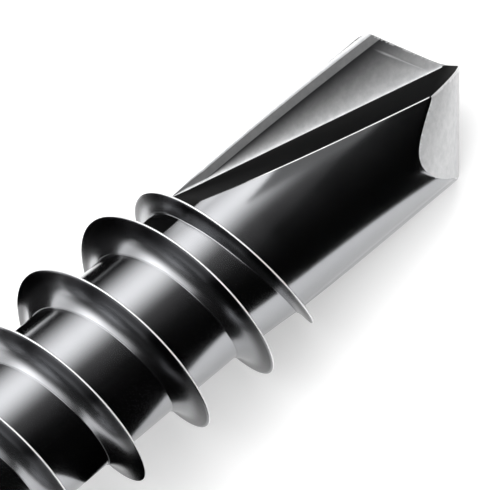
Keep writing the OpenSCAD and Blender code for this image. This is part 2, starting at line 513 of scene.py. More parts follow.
@dataclass
class Body:
    """Round body under the thread and behind the point: the core, a cone and the drill's body."""

    length: float = 25.0
    core_r: float = 1.68
    drill_r: float = 1.76
    # Cutting corners: how far out they stand, the round of their margin, and where they are.
    cut_r: float = 1.865
    margin_r: float = 1.232
    margin_dir: float = 111.4
    # Flattened land between them.
    land_dir: float = 2.0
    land_w: float = 22.0
    land_flat: float = 0.04
    section_blend: float = 0.012
    # Heights where the cone starts and ends.
    widen_z: float = 17.05
    drill_z: float = 18.79

    def section_r(self, angle: np.ndarray) -> np.ndarray:
        """Radius of the drill's body.

        It is the larger of two curves, with a small blend where they cross. One is the round body,
        pressed a little flat at two sides: drill_r - flat * exp(-(a / w)^2). The other is, at each
        cutting corner, a tighter circle of radius margin_r whose far point stands at cut_r:
        c cos a + sqrt(margin_r^2 - c^2 sin^2 a), with c = cut_r - margin_r.

        Args:
            angle: angle round the axis, in degrees.

        Returns:
            Radius at each angle.
        """
        shift = self.cut_r - self.margin_r
        off = (angle - self.margin_dir + 90) % 180 - 90
        bulge = shift * cosd(off) + np.sqrt(self.margin_r ** 2 - (shift * sind(off)) ** 2)
        land = (angle - self.land_dir + 90) % 180 - 90
        round_r = self.drill_r - self.land_flat * np.exp(-(land / self.land_w) ** 2)
        return (bulge + round_r + np.sqrt((bulge - round_r) ** 2 + self.section_blend ** 2)) / 2

    def radius(self, angle: np.ndarray, z: np.ndarray) -> np.ndarray:
        """Radius at an angle and a height: the core's, widening in a cone to the drill's."""
        share = np.clip((z - self.widen_z) / (self.drill_z - self.widen_z), 0, 1)
        return self.core_r + (self.section_r(angle) - self.core_r) * share


@dataclass
class HexHead:
    """Hexagon head on a washer flange, plain on top, as such a screw has it."""

    across_flats: float = 8.0
    height: float = 4.3
    # Flange: its width beyond the hexagon's corners, and how far it runs on under the hexagon.
    flange_rim: float = 0.63
    flange_t: float = 0.9
    flange_slope: float = 12.0
    flange_tuck: float = 0.6
    rim_round: float = 0.27
    # Hexagon: its foot inside the flange, its rounded edges and its chamfer.
    foot: float = 0.5
    corner_trim: float = 0.03
    corner_blend: float = 0.0008
    chamfer: float = 30.0
    chamfer_inset: float = 0.2
    edge_round: float = 0.06
    edge_bulge: float = 0.25
    # Rounding from the chamfer into the top: where it starts outside the top's edge, one point
    # just inside it (inwards, down), and where the flat top starts.
    brow: float = 0.04
    brow_fall: tuple[float, float] = (0.01, 0.006)
    top_inset: float = 0.06
    # Mesh.
    steps: int = 240
    arc_steps: int = 10
    flat_rows: int = 14

    def flange_profile(self) -> np.ndarray:
        """Profile of the flange, from the axis at the bearing face out round the rim and back.

        Heights are negative, because the head is below the bearing face in the upright frame. The
        upper face runs on under the hexagon by flange_tuck.

        Returns:
            Rows of [radius, height].
        """
        rim_r = self.across_flats / 2 / cosd(30) + self.flange_rim - self.rim_round
        low = arc((rim_r, -self.rim_round), self.rim_round, 90, 0, self.arc_steps)
        high = arc((rim_r, -self.flange_t + self.rim_round), self.rim_round,
                   0, self.flange_slope - 90, self.arc_steps)
        run = high[-1, 0] - self.across_flats / 2 + self.flange_tuck
        foot = [[high[-1, 0] - run, high[-1, 1] - run * tand(self.flange_slope)]]
        flat = np.linspace(0.0, low[0, 0], self.flat_rows)[:, None] * [1, 0]
        return np.concatenate([flat[:-1], low, high, foot, [[0, foot[0][1]]]])

    def hexagon(self) -> np.ndarray:
        """Hexagon with rounded corners, trimmed by a chamfer cone and rounded into the top face.

        At angle a the side is at flats / cos(a'), with a' the angle from the nearest flat's middle.
        A smooth minimum with a circle just inside the corner rounds the six edges. The chamfer
        meets the side at height - (radius - top radius) * tan(chamfer), under a small rounding.

        Returns:
            Grid of shape (rows, steps + 1, 3), from the foot in the flange to the top's middle.
        """
        flat_r, top_r = self.across_flats / 2, self.across_flats / 2 - self.chamfer_inset
        slope, top = tand(self.chamfer), -self.height
        angle = np.linspace(0, 360, self.steps + 1)
        sharp = flat_r / cosd((angle + 30) % 60 - 30)
        limit = flat_r / cosd(30) - self.corner_trim
        side = (sharp + limit - np.sqrt((sharp - limit) ** 2 + self.corner_blend)) / 2
        drop = (side - top_r) * slope
        zero = 0 * side
        turn = np.array([[0.4], [0.7], [1.0]])      # shares of the way round the side's edge
        bulge = self.edge_bulge * turn * turn
        inner = np.array([[1], [0.75], [0.5], [0.25], [0]])     # shares of the top's radius
        radius = np.concatenate([
            [zero, side, side],
            side - bulge * (side - top_r),
            [zero + top_r + self.brow, zero + top_r - self.brow_fall[0]],
            zero + (top_r - self.top_inset) * inner])
        height = np.concatenate([
            [zero - self.foot, zero - self.foot, top + drop + self.edge_round],
            top + drop + self.edge_round * (1 - turn) - bulge * drop,
            [zero + top + self.brow * slope, zero + top + self.brow_fall[1]],
            zero + top + 0 * inner])
        return np.stack([radius * cosd(angle), radius * sind(angle), height], axis=-1)

    def build(self, material: bpy.types.Material) -> bpy.types.Object:
        """Make the head as one object of two closed shells that pass into each other.

        Args:
            material: its finish.

        Returns:
            The object.
        """
        parts = MeshParts()
        parts.add_grid(revolve(self.flange_profile(), self.steps))
        parts.add_grid(self.hexagon())
        return parts.build("screw_head", [material])


@dataclass
class Thread:
    """Rolled thread: one ridge along a helix.

    In its last turn it is lower and crowded back towards the head. A pair of values holds for the
    flank that faces the head and the flank that faces the tip.
    """

    body: Body
    # Helix: angle 0 is where its crest would reach the drill's body without crowding.
    thread_r: float = 2.4
    pitch: float = 1.84
    last_drop: float = 0.23
    drop_span: tuple[float, float] = (-270.0, -90.0)
    crowding: float = 0.82
    crowd_mid: float = -20.0
    crowd_reach: float = 225.0
    # Ends of the ridge, and the angles over which it rises and fades there.
    neck_l: float = 2.2
    start_fade: float = 200.0
    roll_end: float = 124.0
    end_fade: float = 26.0
    # Section of the ridge.
    crest_slopes: tuple[float, float] = (12.0, 12.0)
    crest_round: float = 0.026
    base_ws: tuple[float, float] = (0.44, 0.25)
    root_fillet: float = 0.03
    fillet_bend: tuple[float, float] = (6.0, 48.0)
    flank_foot: float = 0.02
    # painted shade: the flanks are painted dark beside the crest, fading out over this share of the
    # flank
    flank_shade_span: tuple[float, float] = (0.25, 0.7)
    # Core, and how far parts reach into one another, so that no gap shows.
    neck_fillet: float = 0.25
    sink: float = 0.16
    end_sink: float = 0.05
    head_sink: float = 0.4
    cone_lap: float = 0.02
    # Mesh.
    neck_steps: int = 8
    steps_per_turn: int = 144
    core_steps: int = 192
    core_rows: int = 60
    crest_columns: int = 9
    # columns each side of the crest's middle in pale satin: a painted highlight
    crest_highlight_columns: int = 2
    flank_columns: int = 14
    fillet_columns: int = 5

    def crest_z(self, angle: np.ndarray) -> np.ndarray:
        """Height of the crest: a helix, less a rounded hump cos^2 over the last turn.

        Args:
            angle: angle along the helix, in degrees.

        Returns:
            Height at each angle.
        """
        off = angle - self.crowd_mid
        hump = np.where(np.abs(off) < self.crowd_reach, cosd(90 * off / self.crowd_reach) ** 2, 0)
        return self.body.drill_z + self.pitch * angle / 360 - self.crowding * hump

    def crest_r(self, angle: np.ndarray, start: float) -> np.ndarray:
        """Radius of the crest, lower over the last turn and faded into the core at both ends.

        Args:
            angle: angle along the helix, in degrees.
            start: angle where the thread starts.

        Returns:
            Radius at each angle.
        """
        full = self.thread_r - self.last_drop * ease(angle, *self.drop_span)
        sunk = self.body.core_r - self.end_sink
        share = ease(angle, start, start + self.start_fade)
        share = share * (1 - ease(angle, self.roll_end - self.end_fade, self.roll_end))
        return sunk + (full - sunk) * share

    def half_width(self, drop: np.ndarray, side: int) -> np.ndarray:
        """Width of one side of the ridge under the crest: c + k1 d + k4 d^4, a hollow flank.

        c is the half width of the rounded crest, k1 the slope beside it, and k4 makes the width at
        full depth the side's base width.

        Args:
            drop: depth d under the crest.
            side: 0 for the flank that faces the head, 1 for the other.

        Returns:
            Width at each depth.
        """
        start = self.crest_round * sind(90 - self.crest_slopes[side])
        full = self.thread_r - self.body.core_r
        k1 = tand(self.crest_slopes[side])
        k4 = (self.base_ws[side] - start - k1 * full) / full ** 4
        return start + k1 * drop + k4 * np.maximum(drop, 0) ** 4

    def flank(self, side: int, angle: np.ndarray, crest: np.ndarray,
              middle: np.ndarray) -> tuple[np.ndarray, np.ndarray]:
        """Section of one side of the ridge, from its base in the core over a fillet to the crest.

        The fillet is an arc of radius f that turns from the core: r + f (1 - cos a) outwards and
        f (sin a1 - sin a) away from the flank.

        Args:
            side: 0 for the flank that faces the head, 1 for the other.
            angle: angle along the helix, one row each.
            crest: radius of the crest there.
            middle: height of the crest there.

        Returns:
            Radius and offset along the axis, each of shape (rows, columns).
        """
        sign = (-1, 1)[side]
        lip = crest - self.crest_round * (1 - sind(self.crest_slopes[side]))
        wide = self.half_width(np.maximum(lip - self.body.core_r, 0), side)
        under = self.body.radius(angle, middle + sign * wide)
        start_r = np.minimum(under + self.flank_foot, lip)
        share = np.linspace(0, 1, self.flank_columns + 1)[None, :-1]
        flank_r = start_r + (lip - start_r) * share
        flank_w = self.half_width(lip - flank_r, side)
        bend = np.linspace(*self.fillet_bend, self.fillet_columns)[None, :]
        foot_r = np.minimum(under + self.root_fillet * (1 - cosd(bend)), start_r)
        rest = self.root_fillet * (sind(self.fillet_bend[1]) - sind(bend))
        foot_w = flank_w[:, :1] + rest
        base_r = np.minimum(self.body.core_r - self.sink + 0 * crest, lip)
        radius = np.concatenate([base_r, foot_r, flank_r], axis=1)
        width = np.concatenate([foot_w[:, :1], foot_w, flank_w], axis=1)
        return radius, width * sign

    def ridge(self) -> np.ndarray:
        """Sweep the section along the helix.

        The section runs from the head-side base over the rounded crest to the tip-side base. Each
        point is (r cos a, r sin a, crest_z(a) + w), where w is its offset along the axis.

        Returns:
            Grid of shape (steps along the helix, columns of the section, 3).
        """
        start = -360 * (self.body.drill_z - self.neck_l) / self.pitch
        count = math.ceil((self.roll_end - start) / 360 * self.steps_per_turn)
        angle = np.linspace(start, self.roll_end, count + 1)[:, None]
        crest = self.crest_r(angle, start)
        middle = self.crest_z(angle)
        over = np.linspace(self.crest_slopes[0] - 90, 90 - self.crest_slopes[1],
                           self.crest_columns)[None, :]
        top_r = crest - self.crest_round * (1 - cosd(over))
        top_w = self.crest_round * sind(over) + 0 * crest
        head_r, head_w = self.flank(0, angle, crest, middle)
        tip_r, tip_w = self.flank(1, angle, crest, middle)
        radius = np.concatenate([head_r, top_r, tip_r[:, ::-1]], axis=1)
        width = np.concatenate([head_w, top_w, tip_w[:, ::-1]], axis=1)
        return np.stack([radius * cosd(angle), radius * sind(angle), middle + width], axis=-1)

    def painted_shade_and_tone(self, columns: int) -> np.ndarray:
        """Painted shade across the ridge: none on the crest, a painted dark band beside it, none at
        the root.

        Args:
            columns: columns of the ridge's grid.

        Returns:
            Painted shade and tone of each column, from 0 for the darkest to 1 for none.
        """
        crest, half = columns // 2, self.crest_columns // 2
        share = np.clip((np.abs(np.arange(columns) - crest) - half) / self.flank_columns, 0, 1)
        painted_shade_and_tone = ease(share, *self.flank_shade_span)
        painted_shade_and_tone[crest - half:crest + half + 1] = 1
        return painted_shade_and_tone

    def shank_profile(self) -> np.ndarray:
        """Profile of the core with the fillet under the head, from the axis there to the cone.

        Returns:
            Rows of [radius, height].
        """
        r, f, end = self.body.core_r, self.neck_fillet, self.body.widen_z + self.cone_lap
        fillet = arc((r + f, f), f, 270, 180, self.neck_steps)
        rows = np.linspace(f, end, self.core_rows)[1:, None] * [0, 1] + [r, 0]
        inside = [[0, -self.head_sink], [r + f, -self.head_sink]]
        return np.concatenate([inside, fillet, rows, [[0, end]]])

    def build(self, plated: bpy.types.Material, rolled: bpy.types.Material,
              pinched: bpy.types.Material) -> list[bpy.types.Object]:
        """Make the core and the ridge, each closed.

        Args:
            plated: finish of the core.
            rolled: finish of the ridge, painted darker beside the crest as painted shade.
            pinched: pale satin of the narrow band on its crest, a painted highlight.

        Returns:
            The core and the ridge.
        """
        core = MeshParts()
        core.add_grid(revolve(self.shank_profile(), self.core_steps))
        ridge = MeshParts()
        grid = self.ridge()
        columns = grid.shape[1]
        # painted shade on the flanks beside the crest
        painted_shade_and_tone = self.painted_shade_and_tone(columns)
        ridge.add_grid(np.concatenate([grid, grid[:, :1]], axis=1), Finish.PLATED,
                       np.append(painted_shade_and_tone, painted_shade_and_tone[0]))
        # painted highlight: a pale satin band on the crest
        ridge.paint(columns // 2 - self.crest_highlight_columns, columns // 2 + self.crest_highlight_columns,
                    columns, columns, Finish.SATIN_AND_HIGHLIGHT)
        for row in (grid[0], grid[-1]):
            half = (columns + 1) // 2
            ridge.add_grid(np.stack([row[:half], row[::-1][:half]]))
        return [core.build("screw_shank", [plated]),
                ridge.build("screw_thread", [rolled, pinched], sharp=50)]


class FluteCut(NamedTuple):
    """Corners of one flute in level cuts: its root, and where its two faces leave the body."""

    root: np.ndarray
    wall: np.ndarray
    rake: np.ndarray


class Crown(NamedTuple):
    """Grids over the sides of half the drill point, in the order in which they are added."""

    edge: np.ndarray
    ridge: np.ndarray
    facet: np.ndarray
    face: np.ndarray


@dataclass
class DrillPoint:
    """Pinched drill point: two flutes, two lips, a pocket in each rake face and relief faces.

    One half is modelled, from the margin of one flute round to the margin of the next, and its
    twin is the same half turned by 180 degrees.
    """

    body: Body
    # End of the screw: angle between the lips, the web between them, and the relief faces.
    point_angle: float = 115.0
    web_t: float = 0.4
    relief_dir: float = 26.4
    relief_r: float = 3.37052
    relief_angle: float = 30.3
    tip_rise: float = 0.128047
    # Flute: directions of its faces, and its root line, which leans outwards by flute_slope from
    # a point near the tip and always stays just inside the body.
    flute_slope: float = 13.2
    wall_lean: float = 18.4
    rake_dir: float = -58.5349
    root_x: float = -0.125
    root_y: float = -0.197996
    root_z: float = 24.7944
    root_skin: float = 0.0005
    # Pocket: widths of the rims that it leaves, its depth and the slope behind the lip's rim.
    lip_rim_w: float = 0.25
    side_rim_w: float = 0.30
    pocket_depth: float = 0.10
    full_pocket_w: float = 1.2
    lip_slope_w: float = 0.12
    # Painted shade and painted highlights of the sides, and the grey of the rims and relief face.
    rim_tone: float = 0.35
    face_tone: float = 0.7
    pocket_fade: float = 1.2
    lip_highlight_z: float = 0.33
    lip_highlight_w: float = 0.05
    lip_highlight_fade: float = 0.3
    heel_fade: tuple[float, float] = (18.9, 19.8)
    # Rounded edges of the section, each at most soft_share of its face, and of the end.
    edge_soft: float = 0.02
    root_soft: float = 0.045
    margin_soft: float = 0.10
    soft_share: float = 0.3
    edge_round: float = 0.045
    edge_taper: int = 6
    ridge_round: float = 0.05
    ridge_on_facet: float = 0.12
    # Mesh: where the sides start inside the thread's cone, limits of the searches, and rows.
    start_z: float = 16.9
    search_z: tuple[float, float] = (20.0, 25.2)
    search_r: float = 5.0
    side_rows: int = 69
    round_rows: int = 7
    facet_rows: int = 12
    face_rows: int = 40

    # Depths of the sides' first rows under the end face. They crowd where the pocket's rim runs.
    depths: ClassVar[tuple[float, ...]] = (
        0.045, 0.08, 0.12, 0.16, 0.2, 0.24, 0.27, 0.29, 0.31, 0.33, 0.35, 0.37, 0.4, 0.46, 0.54,
        0.64, 0.76, 0.9)
    leg_columns: ClassVar[dict[Leg, int]] = {
        Leg.RIM: 14, Leg.POCKET: 34, Leg.ROOT: 9, Leg.WALL: 36, Leg.HEEL: 7, Leg.ROUND: 101,
        Leg.CORNER: 9}
    bent_legs: ClassVar[tuple[Leg, ...]] = (Leg.ROOT, Leg.HEEL, Leg.CORNER)
    # The back wall is black as painted shade. The pale satin of the flute's root and the heel's
    # edge is painted highlight; on rims, pocket and corner it is the pinched finish.
    leg_finish: ClassVar[dict[Leg, Finish]] = {
        Leg.RIM: Finish.SATIN_AND_HIGHLIGHT, Leg.POCKET: Finish.SATIN_AND_HIGHLIGHT, Leg.ROOT: Finish.SATIN_AND_HIGHLIGHT,
        Leg.WALL: Finish.SCALED, Leg.HEEL: Finish.SATIN_AND_HIGHLIGHT, Leg.CORNER: Finish.SATIN_AND_HIGHLIGHT}
    twin: ClassVar[np.ndarray] = np.array([-1, -1, 1])

    def relief_z(self, x: np.ndarray, y: np.ndarray) -> np.ndarray:
        """Height of the curved relief face.

        The face is a cylinder of radius R whose rulings run parallel to the lip. With f the
        distance behind the lip and g the distance along it, h = sqrt(R^2 - (f + R sin c)^2)
        - R cos c, and the height is tip - rise + (h - g cos p) / sin p, with c the clearance and p
        half the point angle.

        Args:
            x: places in plan.
            y: places in plan.

        Returns:
            Height over each place.
        """
        half = self.point_angle / 2
        fall = x * cosd(self.relief_dir) + y * sind(self.relief_dir) - self.web_t / 2
        along = y * cosd(self.relief_dir) - x * sind(self.relief_dir)
        inside = self.relief_r ** 2 - (fall + self.relief_r * sind(self.relief_angle)) ** 2
        lift = np.sqrt(np.maximum(inside, TINY)) - self.relief_r * cosd(self.relief_angle)
        return self.body.length - self.tip_rise + (lift - along * cosd(half)) / sind(half)

    def top_z(self, x: np.ndarray, y: np.ndarray) -> np.ndarray:
        """Height of the end of the screw over x, y: the lower of the two relief faces."""
        return np.minimum(self.relief_z(x, y), self.relief_z(-x, -y))

    def on_relief(self, xy: np.ndarray) -> np.ndarray:
        """Put plan points on the first relief face."""
        return np.concatenate([xy, self.relief_z(xy[..., 0], xy[..., 1])[..., None]], axis=-1)

    def flute_root(self, z: np.ndarray) -> tuple[np.ndarray, np.ndarray]:
        """Place of the flute's root line at a height, before the pocket moves it."""
        return (self.root_x + 0 * z, self.root_y - (self.root_z - z) * tand(self.flute_slope))

    def flute_ways(self) -> tuple[np.ndarray, np.ndarray]:
        """Directions of the flute's two faces in a level cut, where tan' = tan / cos(slope).

        Returns:
            Unit directions of the back wall and of the rake face, away from the root.
        """
        lean = cosd(self.flute_slope)
        wall = np.array([cosd(self.wall_lean), sind(self.wall_lean) / lean])
        rake = np.array([cosd(self.rake_dir), sind(self.rake_dir) / lean])
        return wall / np.linalg.norm(wall), rake / np.linalg.norm(rake)

    def edge_on_body(self, x: np.ndarray, y: np.ndarray, z: np.ndarray,
                     way: np.ndarray) -> np.ndarray:
        """Distance along a direction to the body's surface, found by halving.

        Args:
            x: places to start from.
            y: places to start from.
            z: height of each place.
            way: unit direction in plan.

        Returns:
            Distance from each place, 0 for a place outside the body.
        """
        def inside(far: np.ndarray) -> np.ndarray:
            """Tell whether the point at a distance is inside the body."""
            px, py = x + far * way[0], y + far * way[1]
            return np.hypot(px, py) < self.body.radius(np.degrees(np.arctan2(py, px)), z)

        here = np.zeros_like(x)
        return np.where(inside(here), halve(inside, here, here + self.search_r), 0)

    def cut(self, z: np.ndarray) -> FluteCut:
        """Cut one flute level at each height.

        Args:
            z: heights.

        Returns:
            Its corners, each of shape z.shape + (2,).
        """
        wall, rake = self.flute_ways()
        x, y = self.flute_root(z)
        reach = self.body.radius(np.degrees(np.arctan2(y, x)), z) - self.root_skin
        shrink = np.minimum(1, reach / np.hypot(x, y))
        x, y = x * shrink, y * shrink
        root = np.stack([x, y], axis=-1)
        return FluteCut(root, root + self.edge_on_body(x, y, z, wall)[..., None] * wall,
                        root + self.edge_on_body(x, y, z, rake)[..., None] * rake)

    def layout(self) -> dict[Leg, tuple[slice, np.ndarray]]:
        """Share out the columns of the outline among its legs.

        Returns:
            For each leg, its columns and their places along it, from 0 to 1. A bent leg's columns
            keep clear of its ends, where its neighbours have theirs.
        """
        spans, first = {}, 0
        for leg, count in self.leg_columns.items():
            column = np.arange(count)
            share = (column + 0.5) / count if leg in self.bent_legs else column / (count - 1)
            spans[leg] = (slice(first, first + count), share)
            first += count
        return spans

    def columns(self) -> int:
        """Number of columns in half the outline."""
        return sum(self.leg_columns.values())

    def key_columns(self) -> tuple[int, int]:
        """Columns of the flute's root and of the heel's edge."""
        root, heel = self.layout()[Leg.ROOT][0], self.layout()[Leg.HEEL][0]
        return (root.start + root.stop) // 2, (heel.start + heel.stop) // 2

    def pocket_edge(self, root: np.ndarray, low: np.ndarray, high: np.ndarray) -> np.ndarray:
        """Distance from the flute's root along the rake face to the pocket's outer edge.

        The edge lies on the circle of radius r just inside the cutting corners, at
        -b + sqrt(b^2 - q^2 + r^2), with q the root's distance from the axis and b its part along
        the face.

        Args:
            root: the flute's root at each height.
            low: least distance.
            high: greatest distance.

        Returns:
            Distance at each height.
        """
        inner_r = self.body.cut_r - self.side_rim_w
        along = root @ self.flute_ways()[1]
        rest = np.sum(root * root, axis=-1)
        reach = -along + np.sqrt(np.maximum(along ** 2 - rest + inner_r ** 2, 0))
        reach = np.where(np.sqrt(rest) < inner_r, reach, 0)
        return np.clip(reach, low, np.maximum(high, low))

    def leg_points(self, leg: Leg, share: np.ndarray, z: np.ndarray) -> np.ndarray:
        """Points of one leg of the outline.

        A straight leg runs along a face of the flute, the round one follows the body's surface, and
        a bent one is a parabola that rounds the corner between its neighbours.

        Args:
            leg: which leg.
            share: place along the leg, from 0 to 1, one for each column.
            z: height of each point.

        Returns:
            Points of shape z.shape + (2,).
        """
        wall, rake = self.flute_ways()
        at = self.cut(z)
        wall_len = np.linalg.norm(at.wall - at.root, axis=-1)
        rake_len = np.linalg.norm(at.rake - at.root, axis=-1)
        soft_root = np.minimum(self.root_soft, self.soft_share * np.minimum(wall_len, rake_len))
        soft_rake = np.minimum(self.margin_soft, self.soft_share * rake_len)
        soft_wall = np.minimum(self.edge_soft, self.soft_share * wall_len)
        to_rim = self.pocket_edge(at.root, soft_root, rake_len - soft_rake)
        start = np.degrees(np.arctan2(at.wall[..., 1], at.wall[..., 0]))
        end = np.degrees(np.arctan2(-at.rake[..., 1], -at.rake[..., 0]))
        end = start + (end - start) % 360
        start = start + np.degrees(soft_wall / self.body.drill_r)
        end = end - np.degrees(soft_rake / self.body.drill_r)

        def on_face(far: np.ndarray, way: np.ndarray) -> np.ndarray:
            """Point of a face of the flute at a distance from its root."""
            return at.root + far[..., None] * way

        def on_body(angle: np.ndarray) -> np.ndarray:
            """Point of the body's surface at an angle."""
            r = self.body.radius(angle, z)
            return np.stack([r * cosd(angle), r * sind(angle)], axis=-1)

        t = share[:, None]
        match leg:
            case Leg.RIM:
                margin = rake_len - soft_rake
                return on_face(margin + (to_rim - margin) * share, rake)
            case Leg.POCKET:
                return on_face(to_rim + (soft_root - to_rim) * share, rake)
            case Leg.ROOT:
                return bow(on_face(soft_root, rake), at.root, on_face(soft_root, wall), t)
            case Leg.WALL:
                return on_face(soft_root + (wall_len - soft_wall - soft_root) * share, wall)
            case Leg.HEEL:
                return bow(on_face(wall_len - soft_wall, wall), at.wall, on_body(start), t)
            case Leg.ROUND:
                return on_body(start + (end - start) * share)
            case Leg.CORNER:
                return bow(on_body(end), -at.rake, -on_face(rake_len - soft_rake, rake), t)

    def outline(self, z: np.ndarray) -> np.ndarray:
        """Outline points of the section, each at its own height.

        Args:
            z: heights of shape (rows, columns).

        Returns:
            Points of shape (rows, columns, 2).
        """
        out = np.zeros(z.shape + (2,))
        for leg, (span, share) in self.layout().items():
            out[:, span] = self.leg_points(leg, share, z[:, span])
        return out

    def meet(self, point: Callable[[np.ndarray], np.ndarray],
             top: Callable[[np.ndarray, np.ndarray], np.ndarray], columns: int) -> np.ndarray:
        """Heights where points that move with their height meet a surface, found by halving.

        Args:
            point: gives the plan points at their heights.
            top: gives the surface's height over x and y.
            columns: how many points there are.

        Returns:
            Height of each point.
        """
        def under(z: np.ndarray) -> np.ndarray:
            """Tell whether each point is still under the surface."""
            p = point(z)
            return top(p[..., 0], p[..., 1]) > z

        low, high = (np.full((1, columns), z) for z in self.search_z)
        return halve(under, low, high)[0]

    def find_top(self) -> np.ndarray:
        """Find where each column of the outline ends.

        A column of the back wall ends on the straight line from the flute's root to the heel, where
        the small facet starts. Every other column ends on the relief faces.

        Returns:
            Height of each column's end.
        """
        root_z = self.meet(lambda z: self.cut(z).root, self.top_z, 1)[0]
        heel_z = self.meet(lambda z: self.cut(z).wall, self.top_z, 1)[0]
        root_x = self.cut(np.array([root_z])).root[0, 0]
        heel_x = self.cut(np.array([heel_z])).wall[0, 0]
        column = np.arange(self.columns())
        first, last = self.key_columns()
        wall = (column >= first) & (column <= last)

        def end(x: np.ndarray, y: np.ndarray) -> np.ndarray:
            """Height of the end of each column over x, y."""
            share = np.clip((x - root_x) / (heel_x - root_x), 0, 1)
            return np.where(wall, root_z + (heel_z - root_z) * share, self.top_z(x, y))

        return self.meet(self.outline, end, self.columns())

    def sides(self, top: np.ndarray) -> np.ndarray:
        """Side surface of one half: the outline at rows of heights under its own top.

        The uppermost rows lie at fixed depths under the end face, so that they follow the pocket's
        rim. The others are spread evenly from there down to start_z.

        Args:
            top: height of each column's end.

        Returns:
            Grid of shape (rows, columns, 3).
        """
        near = top[None, :] - np.array(self.depths)[:, None]
        share = np.linspace(0, 1, self.side_rows + 1)[1:, None]
        z = np.concatenate([near, near[-1:] + (self.start_z - near[-1:]) * share])
        grid = np.concatenate([self.outline(z), z[..., None]], axis=-1)
        return grid + self.pocket(grid, top)

    def pocket(self, grid: np.ndarray, top: np.ndarray) -> np.ndarray:
        """Offset that sinks the pocket into the rake face, along the back wall's direction.

        The floor is a shallow trough, depth * 4 t (1 - t), with t the share of the way from the
        side rim to the flute's root. Behind the lip's rim it drops over a short slope, by
        1 - (1 - s/w)^2 with s the distance from the rim.

        Args:
            grid: side surface without a pocket.
            top: height of each column's end.

        Returns:
            Offset of each point.
        """
        pocket, root = self.layout()[Leg.POCKET][0], self.layout()[Leg.ROOT][0]
        x, y, z = grid[..., 0], grid[..., 1], grid[..., 2]
        inner_r = self.body.cut_r - self.side_rim_w
        half = sind(self.point_angle / 2)
        from_side = np.clip(inner_r - np.hypot(x, y), 0, None)
        from_lip = np.clip((top[None, :] - z - self.lip_rim_w / half) * half, 0, None)
        root_x, root_y = self.flute_root(z)
        from_root = np.hypot(x - root_x, y - root_y)
        wide = np.clip((inner_r - np.hypot(root_x, root_y)) / self.full_pocket_w, 0, 1)
        drop = 1 - (1 - np.clip(from_lip / self.lip_slope_w, 0, 1)) ** 2
        share = from_side / np.maximum(from_side + from_root, TINY)
        depth = self.pocket_depth * wide * 4 * share * (1 - share) * drop
        part = np.zeros(grid.shape[1])
        part[pocket] = 1
        part[root] = np.linspace(1, 0, root.stop - root.start)
        wall, rake = self.flute_ways()
        shift = -depth * part[None, :] / abs(wall[0] * rake[1] - wall[1] * rake[0])
        return shift[..., None] * np.array([*wall, 0])

    def ridge_lines(self, corner: np.ndarray,
                    walls: int) -> tuple[np.ndarray, np.ndarray, np.ndarray]:
        """Run the ridge between facet and relief face straight in plan from the heel to the tip.

        Its rounding widens from both ends as (4 s (1 - s))^(1/4), with s the share of its length.

        Args:
            corner: points on the sharp edge of the half.
            walls: how many of them belong to the back wall.

        Returns:
            Line on the facet, the sharp ridge, and the line on the relief face.
        """
        share = (corner[:walls, :1] - corner[0, 0]) / (corner[walls - 1, 0] - corner[0, 0])
        ridge = self.on_relief(corner[walls - 1, :2] * share)
        ridge[0, 2] = self.body.length
        swell = (4 * share * (1 - share)) ** 0.25
        run = ridge[-1, :2] / np.linalg.norm(ridge[-1, :2])
        across = np.array([-run[1], run[0]])
        low = ridge + (corner[:walls] - ridge) * (self.ridge_on_facet * swell)
        high = self.on_relief(ridge[:, :2] + across * self.ridge_round * swell)
        high[0], high[-1], low[0], low[-1] = ridge[0], ridge[-1], ridge[0], ridge[-1]
        return low, ridge, high

    def rim_line(self, corner: np.ndarray, high: np.ndarray, walls: int) -> np.ndarray:
        """Line on the relief face where the rounding of its sharp border ends.

        Each point lies inwards of its corner, towards the point that faces it across the relief
        face, by edge_round or less, which tapers off at the heel and at the lip's inner end.

        Args:
            corner: points on the sharp edge of the half.
            high: line of the ridge on the relief face.
            walls: how many of the points belong to the back wall, which has no such border.

        Returns:
            One point for each corner.
        """
        half = len(corner) - 1
        middle = half // 2
        near = np.concatenate([high[:, :2], corner[walls:middle + 1, :2]])
        far = corner[half:middle - 1:-1, :2]
        goal = np.concatenate([corner[:walls, :2], far[walls:-1], near[::-1]])
        gap = np.linalg.norm(goal - corner[:, :2], axis=1, keepdims=True)
        inward = (goal - corner[:, :2]) / np.maximum(gap, TINY)
        inward[middle] = -corner[middle, :2] / np.linalg.norm(corner[middle, :2])
        order = np.arange(half + 1)[:, None]
        taper = np.clip(np.minimum(order - walls + 1, half - order) / self.edge_taper, 0, 1)
        most = np.where(order == middle, 1, self.soft_share * gap)
        rim = self.on_relief(corner[:, :2] + inward * np.minimum(self.edge_round * taper, most))
        rim[:walls], rim[-1] = corner[:walls], corner[-1]
        return rim

    def crown(self, side_top: np.ndarray, corner: np.ndarray) -> Crown:
        """Close one half over its sides: rounded edge, facet, rounded ridge and relief face.

        The facet is ruled from the back wall's top to the ridge. The relief face is ruled in plan
        between two runs of its border, one from the tip along the ridge and round the heel, one
        from the flute's root along the lip, which end at the same point of the round body. Its
        points take the height of relief_z. Edge and ridge are rounded by parabolas.

        Args:
            side_top: top row of the sides, from the root of one flute to the root of the next.
            corner: points on the sharp edge above it, in the same order.

        Returns:
            The four grids.
        """
        first, last = self.key_columns()
        walls, half = last - first + 1, len(corner) - 1
        middle = half // 2
        low, ridge, high = self.ridge_lines(corner, walls)
        rim = self.rim_line(corner, high, walls)
        t = np.linspace(0, 1, self.round_rows)[:, None, None]
        edge, bend = bow(side_top, corner, rim, t), bow(low, ridge, high, t)
        t = np.linspace(0, 1, self.facet_rows)[:, None, None]
        facet = corner[:walls] * (1 - t) + low * t
        near = np.concatenate([high, rim[walls:middle + 1]])
        far = rim[half:middle - 1:-1]
        t = np.linspace(0, 1, self.face_rows)[:, None, None]
        face = self.on_relief(near[:, :2] * (1 - t) + far[:, :2] * t)
        face[0], face[-1] = near, far
        face[:, 0] = (ridge[0] * (1 - t) + corner[half] * t)[:, 0]
        return Crown(edge, bend, facet, face)

